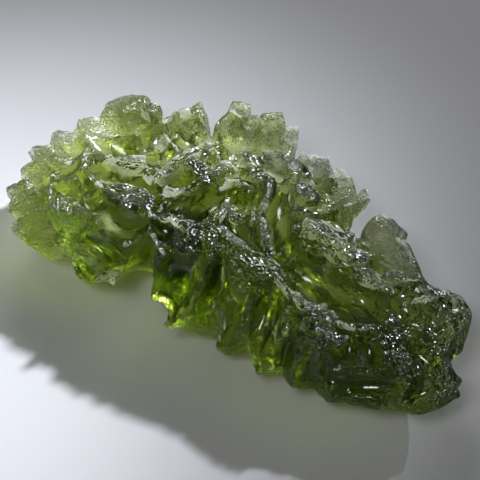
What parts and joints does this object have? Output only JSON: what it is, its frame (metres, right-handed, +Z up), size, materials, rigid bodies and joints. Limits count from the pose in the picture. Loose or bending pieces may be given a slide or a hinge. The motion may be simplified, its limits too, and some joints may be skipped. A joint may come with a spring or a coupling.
{
  "type": "moldavite",
  "caption": "Rough piece of clear green natural glass: a flat, tapering pebble etched into deep scooped pits, sharp ridges and a toothed rim, lying on its pitted underside.",
  "frame": {"origin": "middle of the stone's box in plan, on the surface that it rests on", "axes": "+X along the stone's length towards its tapered end, +Y across it towards the side with the thin pale teeth, +Z up through its thickness"},
  "size_m": [0.0424, 0.022, 0.0101],
  "materials": {
    "green_glass": "clear olive green glass, satin and finely pitted on the old skin, smooth in the etched scoops"
  },
  "bodies": {
    "root": {"moldavite": "green_glass"}
  },
  "joints": []
}
